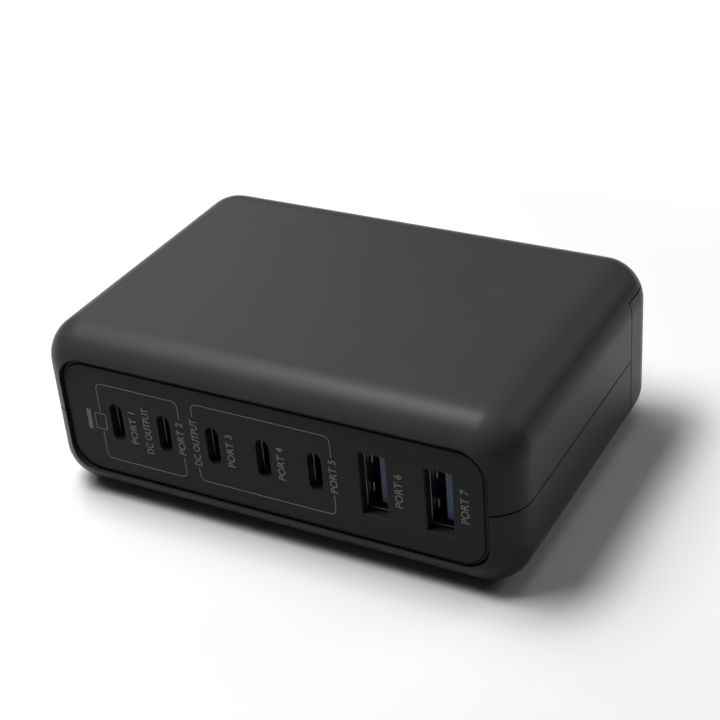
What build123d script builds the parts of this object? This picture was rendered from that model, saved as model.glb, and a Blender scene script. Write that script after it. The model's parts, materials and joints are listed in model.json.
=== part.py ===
from build123d import *
import os

# Multi port USB desktop charger, as the pieces that it comes apart into, in millimetres.
# +X is right, +Y runs to the back and +Z is up. The housing is drawn about its own underside.
# At the end every piece is lifted by the feet and centred on the housing's true depth,
# so the origin lies on the table in the middle of the charger.

# Overall form of the housing
WIDTH = 102.0
DEPTH = 72.0
HEIGHT = 36.6
EDGE_RADIUS = 8.5  # every outer edge
WALL = 2.2
INNER_CHAMFER = 5.5  # every edge of the cavity
FRONT = -DEPTH / 2
BACK = DEPTH / 2

# Seams between the housing pieces
SEAM = 0.3
FIT = 0.1  # clearance between pieces that are put together
PARTING_HEIGHT = 18.4
REAR_COVER_DEPTH = 13.7
REAR_COVER_DROP = 5.3  # from the top of the housing down to the top of the rear cover
LIP_THICKNESS = 1.0
LIP_LENGTH = 1.4
LIP_ROOT = 1.0
LIP_MARGIN = 1.0  # from the end of a lip to where the wall starts to curve
PARTING_TOP = PARTING_HEIGHT + SEAM / 2
PARTING_BOTTOM = PARTING_HEIGHT - SEAM / 2
REAR_SEAM = BACK - REAR_COVER_DEPTH
COVER_TOP = HEIGHT - REAR_COVER_DROP

# Front panel, its groove and the ledge that it sits on
PANEL_WIDTH = 89.8
PANEL_HEIGHT = 24.2
PANEL_RADIUS = 5.0
PANEL_THICKNESS = 2.0
PANEL_SETBACK = 1.1
PANEL_GROOVE = 0.85
PANEL_CHAMFER = 0.3
LEDGE_WIDTH = 2.0
LEDGE_THICKNESS = 1.6
PANEL_MIDDLE = HEIGHT / 2
PANEL_FACE = FRONT + PANEL_SETBACK
PANEL_BACK = PANEL_FACE + PANEL_THICKNESS
LEDGE_BACK = PANEL_BACK + LEDGE_THICKNESS

# Ports, all upright and on one level
PORT_HEIGHT = PANEL_MIDDLE
PORT_DEPTH = 10.9  # from the back of the panel to the port board
USB_C_COUNT = 5
USB_C_FIRST_X = -33.5
USB_C_PITCH = 11.08
USB_A_X = [22.9, 36.05]
OPENING_CHAMFER = 0.2
SHELL_SHEET = 0.3
USB_C_OPENING = (8.5, 2.9)
USB_C_BORE = (8.34, 2.56)
USB_C_TONGUE = (6.69, 0.7)
USB_C_TONGUE_SETBACK = 0.9
USB_C_CONTACTS = 4
USB_C_CONTACT_PITCH = 1.5
USB_C_CONTACT = (0.8, 0.08)
USB_C_CONTACT_SETBACK = 1.5  # from the tongue's tip
USB_A_OPENING = (13.5, 5.3)
USB_A_BORE = (12.5, 5.12)
USB_A_TONGUE = (11.1, 1.84)
USB_A_TONGUE_GAP = 0.75  # from the tongue to the wall on its right
USB_A_TONGUE_SETBACK = 1.0
USB_A_CONTACT_Z = [-3.5, -1.0, 1.0, 3.5]
USB_A_CONTACT = (1.0, 0.1)
USB_A_CONTACT_SETBACK = 1.0  # from the tongue's tip
FINGER_Z = [-3.2, 3.2]
FINGER_WIDTH = 2.0
FINGER_LENGTH = 5.0
FINGER_BEND = 0.55
FINGER_SETBACK = 1.6
FINGER_SLIT = 0.3
RECEPTACLE_BASE = 3.0  # plastic at the back of each receptacle
SHELL_FRONT = PANEL_BACK + FIT
PORT_BOARD_FRONT = PANEL_BACK + PORT_DEPTH

# Status light
LIGHT_X = -40.3
LIGHT_HEIGHT = 17.65
LIGHT_SIZE = (1.1, 4.7)
LIGHT_CHIP = (1.6, 0.8)  # side and thickness

# Boards
BOARD_THICKNESS = 1.6
BOARD_UNDERSIDE = 7.0
BOARD_MARGIN_SIDE = 7.0
BOARD_MARGIN_FRONT = 7.5
BOARD_MARGIN_BACK = 6.0
SHEET_THICKNESS = 0.4
PORT_BOARD_MARGIN_SIDE = 8.0
PORT_BOARD_HEIGHT = 21.5
HEADER_SIZE = (40.0, 2.5, 2.5)
BOARD_TOP = BOARD_UNDERSIDE + BOARD_THICKNESS
BOARD_X = WIDTH / 2 - BOARD_MARGIN_SIDE
BOARD_FRONT = FRONT + BOARD_MARGIN_FRONT
BOARD_BACK = BACK - BOARD_MARGIN_BACK
PORT_BOARD_BACK = PORT_BOARD_FRONT + BOARD_THICKNESS

# Posts under the edges of the main board, and the screws whose heads hold it down
POST_SIDE = 6.0
POST_GAP_FRONT = 8.5  # from the port board
POST_GAP_BACK = 5.0  # from the rear seam
SCREW_RADIUS = 1.3
SCREW_HEAD_RADIUS = 2.4
SCREW_HEAD_HEIGHT = 1.6
SCREW_LENGTH = 5.2  # below the head
SCREW_CLEARANCE = 0.2  # from the edge of the board
PILOT_CLEARANCE = 0.05
POST_X = BOARD_X + SCREW_RADIUS + SCREW_CLEARANCE
POST_FRONT = PORT_BOARD_BACK + POST_GAP_FRONT
POST_BACK = REAR_SEAM - POST_GAP_BACK
POSTS = [(x, y) for x in (-POST_X, POST_X) for y in (POST_FRONT, POST_BACK)]
SCREW_POSTS = [POSTS[0], POSTS[-1]]

# Foot strips, each in a shallow recess
FOOT_LENGTH = 66.0
FOOT_WIDTH = 7.0
FOOT_PROUD = 0.5
FOOT_RECESS = 0.6
FOOT_INSET_FRONT = 16.0
FOOT_INSET_SEAM = 7.0
FOOT_FRONT = FRONT + FOOT_INSET_FRONT
FOOT_BACK = REAR_SEAM - FOOT_INSET_SEAM

# Mains inlet, figure-of-eight type, behind a hole in the rear cover
INLET_HEIGHT = 17.5
INLET_CAVITY = (16.0, 8.4)
INLET_CAVITY_DEPTH = 12.0  # from the outer face of the cover
INLET_WALL = 1.5
INLET_FLANGE = 2.5
INLET_FLANGE_THICKNESS = 1.5
INLET_PIN_RADIUS = 1.2
INLET_PIN_SPACING = 8.6
INLET_PIN_LENGTH = 8.5
INLET_TAIL_LENGTH = 2.0
INLET_FACE = BACK - WALL - FIT
INLET_FLOOR = BACK - INLET_CAVITY_DEPTH
INLET_END = INLET_FLOOR - INLET_WALL

# Heat spreader under the ceiling
CEILING = HEIGHT - WALL
SPREADER_THICKNESS = 1.5
SPREADER_MARGIN = 12.0
SPREADER_GAP_FRONT = 2.5  # from the port board
SPREADER_GAP_BACK = 10.5  # from the back of the housing
SPREADER_FRONT = PORT_BOARD_BACK + SPREADER_GAP_FRONT
SPREADER_BACK = BACK - SPREADER_GAP_BACK
PAD_THICKNESS = 2.0
SPREADER_X = WIDTH / 2 - SPREADER_MARGIN
SPREADER_BOTTOM = CEILING - SPREADER_THICKNESS

# Power parts on the main board, in rows from the ports to the back
PART_GAP = 1.0  # between neighbouring parts
ROW_MARGIN = 12.0  # from the side edge of the board to the first and last of a row
OUTPUT_CAPACITOR_COUNT = 4
OUTPUT_CAPACITOR_SIZE = (7.3, 4.3, 4.0)
OUTPUT_CAPACITOR_GAP = 5.0  # from the port board
OUTPUT_CAPACITOR_Y = PORT_BOARD_BACK + OUTPUT_CAPACITOR_GAP + OUTPUT_CAPACITOR_SIZE[1] / 2
BUCK_INDUCTOR_COUNT = 5
BUCK_INDUCTOR_SIZE = (6.5, 6.5, 5.0)
BUCK_INDUCTOR_Y = OUTPUT_CAPACITOR_Y + (OUTPUT_CAPACITOR_SIZE[1] + BUCK_INDUCTOR_SIZE[1]) / 2 + PART_GAP
CHIP_SIZE = (5.0, 6.0, 1.2)
CHIP_SPACING = 8.0
CHIP_INSET = 3.0  # from the side edge of the board
CHIP_X = BOARD_X - CHIP_INSET

# Mains row at the back
MAINS_MARGIN = 1.5  # from the back edge of the board
MOULDED_EDGE = 0.6
FUSE_SIZE = (4.3, 8.4, 8.0)
FUSE_INSET = 5.0  # from the side edge of the board
FUSE_PLACE = (FUSE_INSET - BOARD_X, BOARD_BACK - MAINS_MARGIN - FUSE_SIZE[1] / 2)
X_CAPACITOR_SIZE = (18.0, 8.0, 15.0)
X_CAPACITOR_PLACE = (
    FUSE_PLACE[0] + (FUSE_SIZE[0] + X_CAPACITOR_SIZE[0]) / 2 + PART_GAP,
    BOARD_BACK - MAINS_MARGIN - X_CAPACITOR_SIZE[1] / 2,
)
BRIDGE_SIZE = (15.0, 3.6, 11.0)
BRIDGE_GAP = 2.5  # from the tails of the inlet's pins
BRIDGE_PLACE = (0.0, INLET_END - INLET_TAIL_LENGTH - BRIDGE_GAP - BRIDGE_SIZE[1] / 2)
BRIDGE_LEAD = (1.0, 0.6, 2.5)
BRIDGE_LEAD_COUNT = 4
BRIDGE_CORNER = 2.5
CHOKE_SIZE = (17.0, 7.0)
CHOKE_INSET = 19.0  # from the side edge of the board
CHOKE_HEIGHT = 17.0
CHOKE_TOP = BOARD_TOP + CHOKE_HEIGHT

# Wound cores, which fill the room that the rows leave
CORE_PLATE = 4.0  # thickness of a wound core's top and bottom
CORE_LEG = 3.2  # thickness of its outer legs
CORE_MIDDLE_SHARE = 0.32  # width of the middle leg, as a share of the core's
CORE_JOINT = 0.1
WINDING_GAP = 0.15
WINDING_OVERHANG = 3.2
CORE_TOP = SPREADER_BOTTOM - PAD_THICKNESS
CHOKE_PLACE = (BOARD_X - CHOKE_INSET, BOARD_BACK - MAINS_MARGIN - WINDING_OVERHANG - CHOKE_SIZE[1] / 2)
BULK_CAPACITOR_RADIUS = 6.5
BULK_CAPACITOR_HEADROOM = 2.0
BULK_CAPACITOR_X = [-BULK_CAPACITOR_RADIUS - PART_GAP / 2, BULK_CAPACITOR_RADIUS + PART_GAP / 2]
BULK_CAPACITOR_Y = BRIDGE_PLACE[1] - BRIDGE_SIZE[1] / 2 - PART_GAP - BULK_CAPACITOR_RADIUS
CORE_INSIDE = BULK_CAPACITOR_X[1] + BULK_CAPACITOR_RADIUS + PART_GAP
CORE_OUTSIDE = CHIP_X - CHIP_SIZE[0] / 2 - PART_GAP
CORE_FRONT = BUCK_INDUCTOR_Y + BUCK_INDUCTOR_SIZE[1] / 2 + PART_GAP + WINDING_OVERHANG
TRANSFORMER_BACK = X_CAPACITOR_PLACE[1] - X_CAPACITOR_SIZE[1] / 2 - PART_GAP - WINDING_OVERHANG
INDUCTOR_BACK = CHOKE_PLACE[1] - CHOKE_SIZE[1] / 2 - PART_GAP - 2 * WINDING_OVERHANG
CORE_WIDTH = CORE_OUTSIDE - CORE_INSIDE
CORE_X = (CORE_OUTSIDE + CORE_INSIDE) / 2
TRANSFORMER_SIZE = (CORE_WIDTH, TRANSFORMER_BACK - CORE_FRONT)
TRANSFORMER_PLACE = (-CORE_X, (TRANSFORMER_BACK + CORE_FRONT) / 2)
INDUCTOR_SIZE = (CORE_WIDTH, INDUCTOR_BACK - CORE_FRONT)
INDUCTOR_PLACE = (CORE_X, (INDUCTOR_BACK + CORE_FRONT) / 2)

REACH = WIDTH + DEPTH  # longer than anything, for cutting blocks


# Helpers

def block(x0, x1, y0, y1, z0, z1):
    """A block between two corners."""
    return Pos((x0 + x1) / 2, (y0 + y1) / 2, (z0 + z1) / 2) * Box(x1 - x0, y1 - y0, z1 - z0)


def across(y0, y1, z0, z1):
    """A block as wide as anything, for cutting the housing into zones."""
    return block(-REACH, REACH, y0, y1, z0, z1)


def upright(sketch, y_front, y_back):
    """A sketch drawn as seen from the front, run from y_front to y_back."""
    return extrude(Plane.XZ.offset(-y_back) * sketch, amount=y_back - y_front)


def standing(sketch, z_low, z_high):
    """A sketch drawn as seen from above, run from z_low to z_high."""
    return extrude(Pos(0, 0, z_low) * sketch, amount=z_high - z_low)


def peg(x, y, z_low, z_high, radius):
    """A round bar that stands upright."""
    return standing(Pos(x, y) * Circle(radius), z_low, z_high)


def panel_outline(grow):
    """The front panel's outline, grown by a margin all round."""
    sketch = RectangleRounded(PANEL_WIDTH + 2 * grow, PANEL_HEIGHT + 2 * grow, PANEL_RADIUS + grow)
    return Pos(0, PANEL_MIDDLE) * sketch


def usb_c_places():
    """The middles of the USB-C ports along the panel."""
    return [USB_C_FIRST_X + i * USB_C_PITCH for i in range(USB_C_COUNT)]


def row(count, pitch):
    """Evenly spaced places, centred on zero."""
    return [(i - (count - 1) / 2) * pitch for i in range(count)]


def board_row(count):
    """Places spread over the width of the main board."""
    return row(count, 2 * (BOARD_X - ROW_MARGIN) / (count - 1))


# Housing

def inset_block(inset):
    """The housing's block, inset from its outer faces."""
    side = WIDTH / 2 - inset
    return block(-side, side, FRONT + inset, BACK - inset, inset, HEIGHT - inset)


def rounded_body(inset):
    """The housing's rounded outside, inset from its outer faces."""
    return fillet(inset_block(inset).edges(), EDGE_RADIUS - inset)


def housing_shell():
    """The whole hollow housing before it is cut into its three pieces."""
    cavity = chamfer(inset_block(WALL).edges(), INNER_CHAMFER)
    shell = rounded_body(0) - (cavity & across(LEDGE_BACK, REACH, -REACH, REACH))
    shell -= upright(panel_outline(PANEL_GROOVE), FRONT - WALL, PANEL_BACK)
    return shell - upright(panel_outline(-LEDGE_WIDTH), PANEL_BACK - FIT, LEDGE_BACK + WALL)


def both_sides(y0, y1, z0, z1, grow):
    """A pair of bars in the inner part of the left and right walls."""
    inside = WIDTH / 2 - WALL - grow
    outside = WIDTH / 2 - WALL + LIP_THICKNESS + grow
    return [block(-outside, -inside, y0, y1, z0, z1), block(inside, outside, y0, y1, z0, z1)]


def side_lips(grow):
    """The tongues on top of the lower housing, or their grooves when grown."""
    front = FRONT + EDGE_RADIUS + LIP_MARGIN - grow
    back = REAR_SEAM - SEAM - LIP_LENGTH - 2 * FIT + grow
    return both_sides(front, back, PARTING_BOTTOM - LIP_ROOT, PARTING_TOP + LIP_LENGTH + grow, grow)


def rear_lips(grow):
    """The tongues on the front of the rear cover, or their grooves when grown."""
    front = REAR_SEAM - SEAM / 2 - LIP_LENGTH - grow
    back = REAR_SEAM + SEAM / 2 + LIP_ROOT
    start = EDGE_RADIUS + LIP_MARGIN
    lips = both_sides(front, back, start - grow, HEIGHT - start + grow, grow)
    half = WIDTH / 2 - start + grow
    return lips + [block(-half, half, front, back, WALL - LIP_THICKNESS - grow, WALL + grow)]


def upper_housing(shell):
    """The top half, which runs over the rear cover."""
    zone = across(-REACH, REACH, PARTING_TOP, REACH)
    zone -= across(REAR_SEAM - SEAM / 2, REACH, 0, COVER_TOP + SEAM / 2)
    return (shell & zone) - side_lips(FIT) - rear_lips(FIT)


def lower_housing(shell):
    """The bottom half, with posts for the main board and recesses for the feet."""
    half = shell & across(-REACH, REAR_SEAM - SEAM / 2, -REACH, PARTING_BOTTOM)
    half = half + side_lips(0) - rear_lips(FIT)
    within_wall = rounded_body(WALL / 2)
    for x, y in POSTS:
        post = standing(Pos(x, y) * Rectangle(POST_SIDE, POST_SIDE), 0, BOARD_UNDERSIDE)
        half += post & within_wall
    for x, y in SCREW_POSTS:
        half -= peg(x, y, BOARD_TOP - SCREW_LENGTH - FIT, BOARD_TOP, SCREW_RADIUS + PILOT_CLEARANCE)
    for y in (FOOT_FRONT, FOOT_BACK):
        half -= standing(Pos(0, y) * foot_outline(FIT), -WALL, FOOT_RECESS)
    return half


def rear_cover(shell):
    """The back end, with the hole for the mains inlet."""
    cover = shell & across(REAR_SEAM + SEAM / 2, REACH, -REACH, COVER_TOP - SEAM / 2)
    cover += rear_lips(0)
    return cover - upright(inlet_outline(FIT), BACK - 2 * WALL, BACK + WALL)


def foot_outline(grow):
    """A foot strip seen from above, grown by a clearance."""
    return Rectangle(FOOT_LENGTH + 2 * grow, FOOT_WIDTH + 2 * grow)


def foot_strip(y):
    """A rubber strip that stands a little out of its recess."""
    return standing(Pos(0, y) * foot_outline(0), -FOOT_PROUD, FOOT_RECESS)


# Front panel and status light

def front_panel():
    """The flat plate with the port openings and the light slot."""
    plate = upright(panel_outline(0), PANEL_FACE, PANEL_BACK)
    height, width = USB_A_OPENING
    for x in USB_A_X:
        plate -= upright(Pos(x, PORT_HEIGHT) * Rectangle(width, height), PANEL_FACE, PANEL_BACK)
    face = plate.faces().sort_by(Axis.Y)[0]
    plate = chamfer(face.inner_wires().edges(), OPENING_CHAMFER)
    face = plate.faces().sort_by(Axis.Y)[0]
    plate = chamfer(face.outer_wire().edges(), PANEL_CHAMFER)
    for x in usb_c_places():
        slot = Pos(x, PORT_HEIGHT) * SlotOverall(*USB_C_OPENING, rotation=90)
        plate -= upright(slot, PANEL_FACE, PANEL_BACK)
    return plate - upright(light_outline(FIT), PANEL_FACE, PANEL_BACK)


def light_outline(grow):
    """The status light's bar, grown by a clearance."""
    width, height = LIGHT_SIZE
    return Pos(LIGHT_X, LIGHT_HEIGHT) * Rectangle(width + 2 * grow, height + 2 * grow)


def status_light_pipe():
    """The clear bar that carries light from the chip to the panel's face."""
    return upright(light_outline(0), PANEL_FACE, PORT_BOARD_FRONT - LIGHT_CHIP[1])


def status_light_chip():
    """The LED on the port board, behind the bar."""
    side, thickness = LIGHT_CHIP
    chip = Pos(LIGHT_X, LIGHT_HEIGHT) * Rectangle(side, side)
    return upright(chip, PORT_BOARD_FRONT - thickness, PORT_BOARD_FRONT)


# USB-C receptacles

def usb_c_shell(x):
    """The drawn metal tube of one USB-C port."""
    height, width = USB_C_BORE
    outside = SlotOverall(height + 2 * SHELL_SHEET, width + 2 * SHELL_SHEET, rotation=90)
    tube = outside - SlotOverall(height, width, rotation=90)
    return upright(Pos(x, PORT_HEIGHT) * tube, SHELL_FRONT, PORT_BOARD_FRONT)


def usb_c_tongue(x):
    """The plastic base with the thin tongue that a plug goes over."""
    height, width = USB_C_BORE
    base = Rectangle(width - FIT, height - width)
    base_front = PORT_BOARD_FRONT - RECEPTACLE_BASE
    tongue_height, tongue_width = USB_C_TONGUE
    tongue = Rectangle(tongue_width, tongue_height)
    piece = upright(Pos(x, PORT_HEIGHT) * base, base_front, PORT_BOARD_FRONT)
    return piece + upright(Pos(x, PORT_HEIGHT) * tongue, SHELL_FRONT + USB_C_TONGUE_SETBACK, base_front)


def usb_c_contacts():
    """The gold strips on both faces of every USB-C tongue."""
    width, thickness = USB_C_CONTACT
    offset = USB_C_TONGUE[1] / 2 + thickness / 2
    y_front = SHELL_FRONT + USB_C_TONGUE_SETBACK + USB_C_CONTACT_SETBACK
    strips = []
    for x in usb_c_places():
        for side in (-offset, offset):
            for z in row(USB_C_CONTACTS, USB_C_CONTACT_PITCH):
                strip = Pos(x + side, PORT_HEIGHT + z) * Rectangle(thickness, width)
                strips.append(upright(strip, y_front, PORT_BOARD_FRONT - RECEPTACLE_BASE))
    return Compound(strips)


# USB-A receptacles

def usb_a_outline(grow):
    """The bore of a USB-A shell, grown by a margin."""
    height, width = USB_A_BORE
    return Rectangle(width + 2 * grow, height + 2 * grow)


def usb_a_shell(x):
    """The folded metal shell of one USB-A port, with a pair of spring fingers on each broad side."""
    tube = usb_a_outline(SHELL_SHEET) - usb_a_outline(0)
    shell = upright(Pos(x, PORT_HEIGHT) * tube, SHELL_FRONT, PORT_BOARD_FRONT)
    inside = USB_A_BORE[1] / 2
    tip = SHELL_FRONT + FINGER_SETBACK
    root = tip + FINGER_LENGTH
    for side in (-1, 1):
        for z in FINGER_Z:
            low = PORT_HEIGHT + z - FINGER_WIDTH / 2
            high = PORT_HEIGHT + z + FINGER_WIDTH / 2
            near = x + side * (inside - FIT)
            far = x + side * (inside + SHELL_SHEET + FIT)
            shell -= block(min(near, far), max(near, far), tip, root, low - FINGER_SLIT, high + FINGER_SLIT)
            corners = [
                (x + side * inside, root),
                (x + side * (inside + SHELL_SHEET), root),
                (x + side * (inside + SHELL_SHEET - FINGER_BEND), tip + FINGER_SLIT),
                (x + side * (inside - FINGER_BEND), tip + FINGER_SLIT),
            ]
            shell += standing(make_face(Polyline(*corners, close=True)), low, high)
    return shell


def usb_a_tongue(x):
    """The plastic base with the coloured tongue on the port's right."""
    height, thickness = USB_A_TONGUE
    middle = x + USB_A_BORE[1] / 2 - USB_A_TONGUE_GAP - thickness / 2
    base_front = PORT_BOARD_FRONT - RECEPTACLE_BASE
    base = Rectangle(USB_A_BORE[1] - FIT, USB_A_BORE[0] - FIT)
    piece = upright(Pos(x, PORT_HEIGHT) * base, base_front, PORT_BOARD_FRONT)
    tongue = Pos(middle, PORT_HEIGHT) * Rectangle(thickness, height)
    return piece + upright(tongue, SHELL_FRONT + USB_A_TONGUE_SETBACK, base_front)


def usb_a_contacts():
    """The contact strips on the open face of both USB-A tongues."""
    width, thickness = USB_A_CONTACT
    face = USB_A_BORE[1] / 2 - USB_A_TONGUE_GAP - USB_A_TONGUE[1]
    y_front = SHELL_FRONT + USB_A_TONGUE_SETBACK + USB_A_CONTACT_SETBACK
    strips = []
    for x in USB_A_X:
        for z in USB_A_CONTACT_Z:
            strip = Pos(x + face - thickness / 2, PORT_HEIGHT + z) * Rectangle(thickness, width)
            strips.append(upright(strip, y_front, PORT_BOARD_FRONT - RECEPTACLE_BASE))
    return Compound(strips)


# Boards

def main_board():
    """The horizontal board that carries the power parts."""
    return block(-BOARD_X, BOARD_X, BOARD_FRONT, BOARD_BACK, BOARD_UNDERSIDE, BOARD_TOP)


def insulating_sheet():
    """The thin sheet under the main board, between its posts."""
    half = POST_X - POST_SIDE / 2 - FIT
    low = BOARD_UNDERSIDE - SHEET_THICKNESS
    return block(-half, half, BOARD_FRONT, BOARD_BACK, low, BOARD_UNDERSIDE)


def board_screws():
    """The hexagon-headed screws, whose heads reach over the edges of the main board."""
    screws = []
    for x, y in SCREW_POSTS:
        head = Pos(x, y) * RegularPolygon(SCREW_HEAD_RADIUS, 6)
        shank = peg(x, y, BOARD_TOP - SCREW_LENGTH, BOARD_TOP, SCREW_RADIUS)
        screws.append(shank + standing(head, BOARD_TOP, BOARD_TOP + SCREW_HEAD_HEIGHT))
    return Compound(screws)


def port_board():
    """The upright board that carries the receptacles."""
    half = WIDTH / 2 - PORT_BOARD_MARGIN_SIDE
    return block(-half, half, PORT_BOARD_FRONT, PORT_BOARD_BACK, BOARD_TOP, BOARD_TOP + PORT_BOARD_HEIGHT)


def board_header():
    """The connector in the corner between the two boards."""
    length, depth, height = HEADER_SIZE
    back = PORT_BOARD_BACK + depth
    return block(-length / 2, length / 2, PORT_BOARD_BACK, back, BOARD_TOP, BOARD_TOP + height)


# Mains inlet

def inlet_outline(grow):
    """The inlet's rounded cavity, grown by a margin."""
    width, height = INLET_CAVITY
    return Pos(0, INLET_HEIGHT) * SlotOverall(width + 2 * grow, height + 2 * grow)


def power_inlet():
    """The socket's plastic body, with a flange against the inside of the rear cover."""
    width, height = INLET_CAVITY
    body = Rectangle(width + 2 * INLET_WALL, height + 2 * INLET_WALL)
    margin = 2 * (INLET_WALL + INLET_FLANGE)
    flange = Rectangle(width + margin, height + margin)
    socket = upright(Pos(0, INLET_HEIGHT) * body, INLET_END, INLET_FACE)
    socket += upright(Pos(0, INLET_HEIGHT) * flange, INLET_FACE - INLET_FLANGE_THICKNESS, INLET_FACE)
    socket -= upright(inlet_outline(0), INLET_FLOOR, INLET_FACE)
    for x in row(2, INLET_PIN_SPACING):
        socket -= upright(Pos(x, INLET_HEIGHT) * Circle(INLET_PIN_RADIUS), INLET_END, INLET_FLOOR)
    return socket


def inlet_pins():
    """The two round pins, each with a flat leg down to the main board behind the socket."""
    pins = []
    tail = INLET_END - INLET_TAIL_LENGTH
    for x in row(2, INLET_PIN_SPACING):
        section = Pos(x, INLET_HEIGHT) * Circle(INLET_PIN_RADIUS)
        contact = upright(section, tail, INLET_FLOOR + INLET_PIN_LENGTH)
        left = x - INLET_PIN_RADIUS
        right = x + INLET_PIN_RADIUS
        pins.append(contact + block(left, right, tail, tail + INLET_PIN_RADIUS, BOARD_TOP, INLET_HEIGHT))
    return Compound(pins)


# Power parts

def moulded(size, place):
    """A moulded component that stands on the main board, with its upright corners cut."""
    length, depth, height = size
    outline = Rectangle(length, depth)
    outline = chamfer(outline.vertices(), MOULDED_EDGE)
    return standing(Pos(*place) * outline, BOARD_TOP, BOARD_TOP + height)


def bulk_capacitor(x):
    """A tall can that stands on the main board."""
    top = SPREADER_BOTTOM - BULK_CAPACITOR_HEADROOM
    return peg(x, BULK_CAPACITOR_Y, BOARD_TOP, top, BULK_CAPACITOR_RADIUS)


def wound_core(size, place, top):
    """A ferrite core of two E halves that meet at mid-height."""
    width, depth = size
    x, y = place
    window = (width * (1 - CORE_MIDDLE_SHARE) - 2 * CORE_LEG) / 2
    offset = width * CORE_MIDDLE_SHARE / 2 + window / 2
    middle = (BOARD_TOP + top) / 2
    front = y - depth / 2
    back = y + depth / 2
    core = block(x - width / 2, x + width / 2, front, back, BOARD_TOP, top)
    for side in (-offset, offset):
        left = x + side - window / 2
        core -= block(left, left + window, front, back, BOARD_TOP + CORE_PLATE, top - CORE_PLATE)
    joint = across(-REACH, REACH, middle - CORE_JOINT / 2, middle + CORE_JOINT / 2)
    return core - joint


def core_winding(size, place, top):
    """The winding on a core's middle leg, which bulges out at the front and back."""
    width, depth = size
    x, y = place
    leg = width * CORE_MIDDLE_SHARE + 2 * WINDING_GAP
    outside = width - 2 * (CORE_LEG + WINDING_GAP)
    bulge = depth + 2 * WINDING_OVERHANG
    ring = Rectangle(outside, bulge)
    ring = chamfer(ring.vertices(), WINDING_OVERHANG / 2) - Rectangle(leg, depth + 2 * WINDING_GAP)
    low = BOARD_TOP + CORE_PLATE + WINDING_GAP
    return standing(Pos(x, y) * ring, low, top - CORE_PLATE - WINDING_GAP)


def bridge_rectifier():
    """A flat package with one cut corner, standing on its leads."""
    length, depth, height = BRIDGE_SIZE
    lead_width, lead_depth, lead_height = BRIDGE_LEAD
    x, y = BRIDGE_PLACE
    low = BOARD_TOP + lead_height
    face = Pos(x, low + height / 2) * Rectangle(length, height)
    face = chamfer(face.vertices().sort_by(Axis.X)[-1], BRIDGE_CORNER)
    package = upright(face, y - depth / 2, y + depth / 2)
    for offset in row(BRIDGE_LEAD_COUNT, length / BRIDGE_LEAD_COUNT):
        lead = Pos(x + offset, y) * Rectangle(lead_width, lead_depth)
        package += standing(lead, BOARD_TOP, low)
    return package


def chips(x):
    """A pair of flat packages beside a wound core."""
    return Compound([moulded(CHIP_SIZE, (x, BULK_CAPACITOR_Y + y)) for y in row(2, CHIP_SPACING)])


def output_capacitors():
    """The row of moulded capacitors behind the port board."""
    places = board_row(OUTPUT_CAPACITOR_COUNT)
    return Compound([moulded(OUTPUT_CAPACITOR_SIZE, (x, OUTPUT_CAPACITOR_Y)) for x in places])


def buck_inductors():
    """The row of moulded inductors, one for each USB-C port."""
    places = board_row(BUCK_INDUCTOR_COUNT)
    return Compound([moulded(BUCK_INDUCTOR_SIZE, (x, BUCK_INDUCTOR_Y)) for x in places])


# Heat spreader

def heat_spreader():
    """The aluminium plate bonded to the ceiling."""
    return block(-SPREADER_X, SPREADER_X, SPREADER_FRONT, SPREADER_BACK, SPREADER_BOTTOM, CEILING)


def thermal_pads():
    """The soft pads between the wound cores and the heat spreader."""
    pads = []
    for size, (x, y) in ((TRANSFORMER_SIZE, TRANSFORMER_PLACE), (INDUCTOR_SIZE, INDUCTOR_PLACE)):
        pads.append(standing(Pos(x, y) * Rectangle(*size), CORE_TOP, SPREADER_BOTTOM))
    return Compound(pads)


# Every piece by its name

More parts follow.
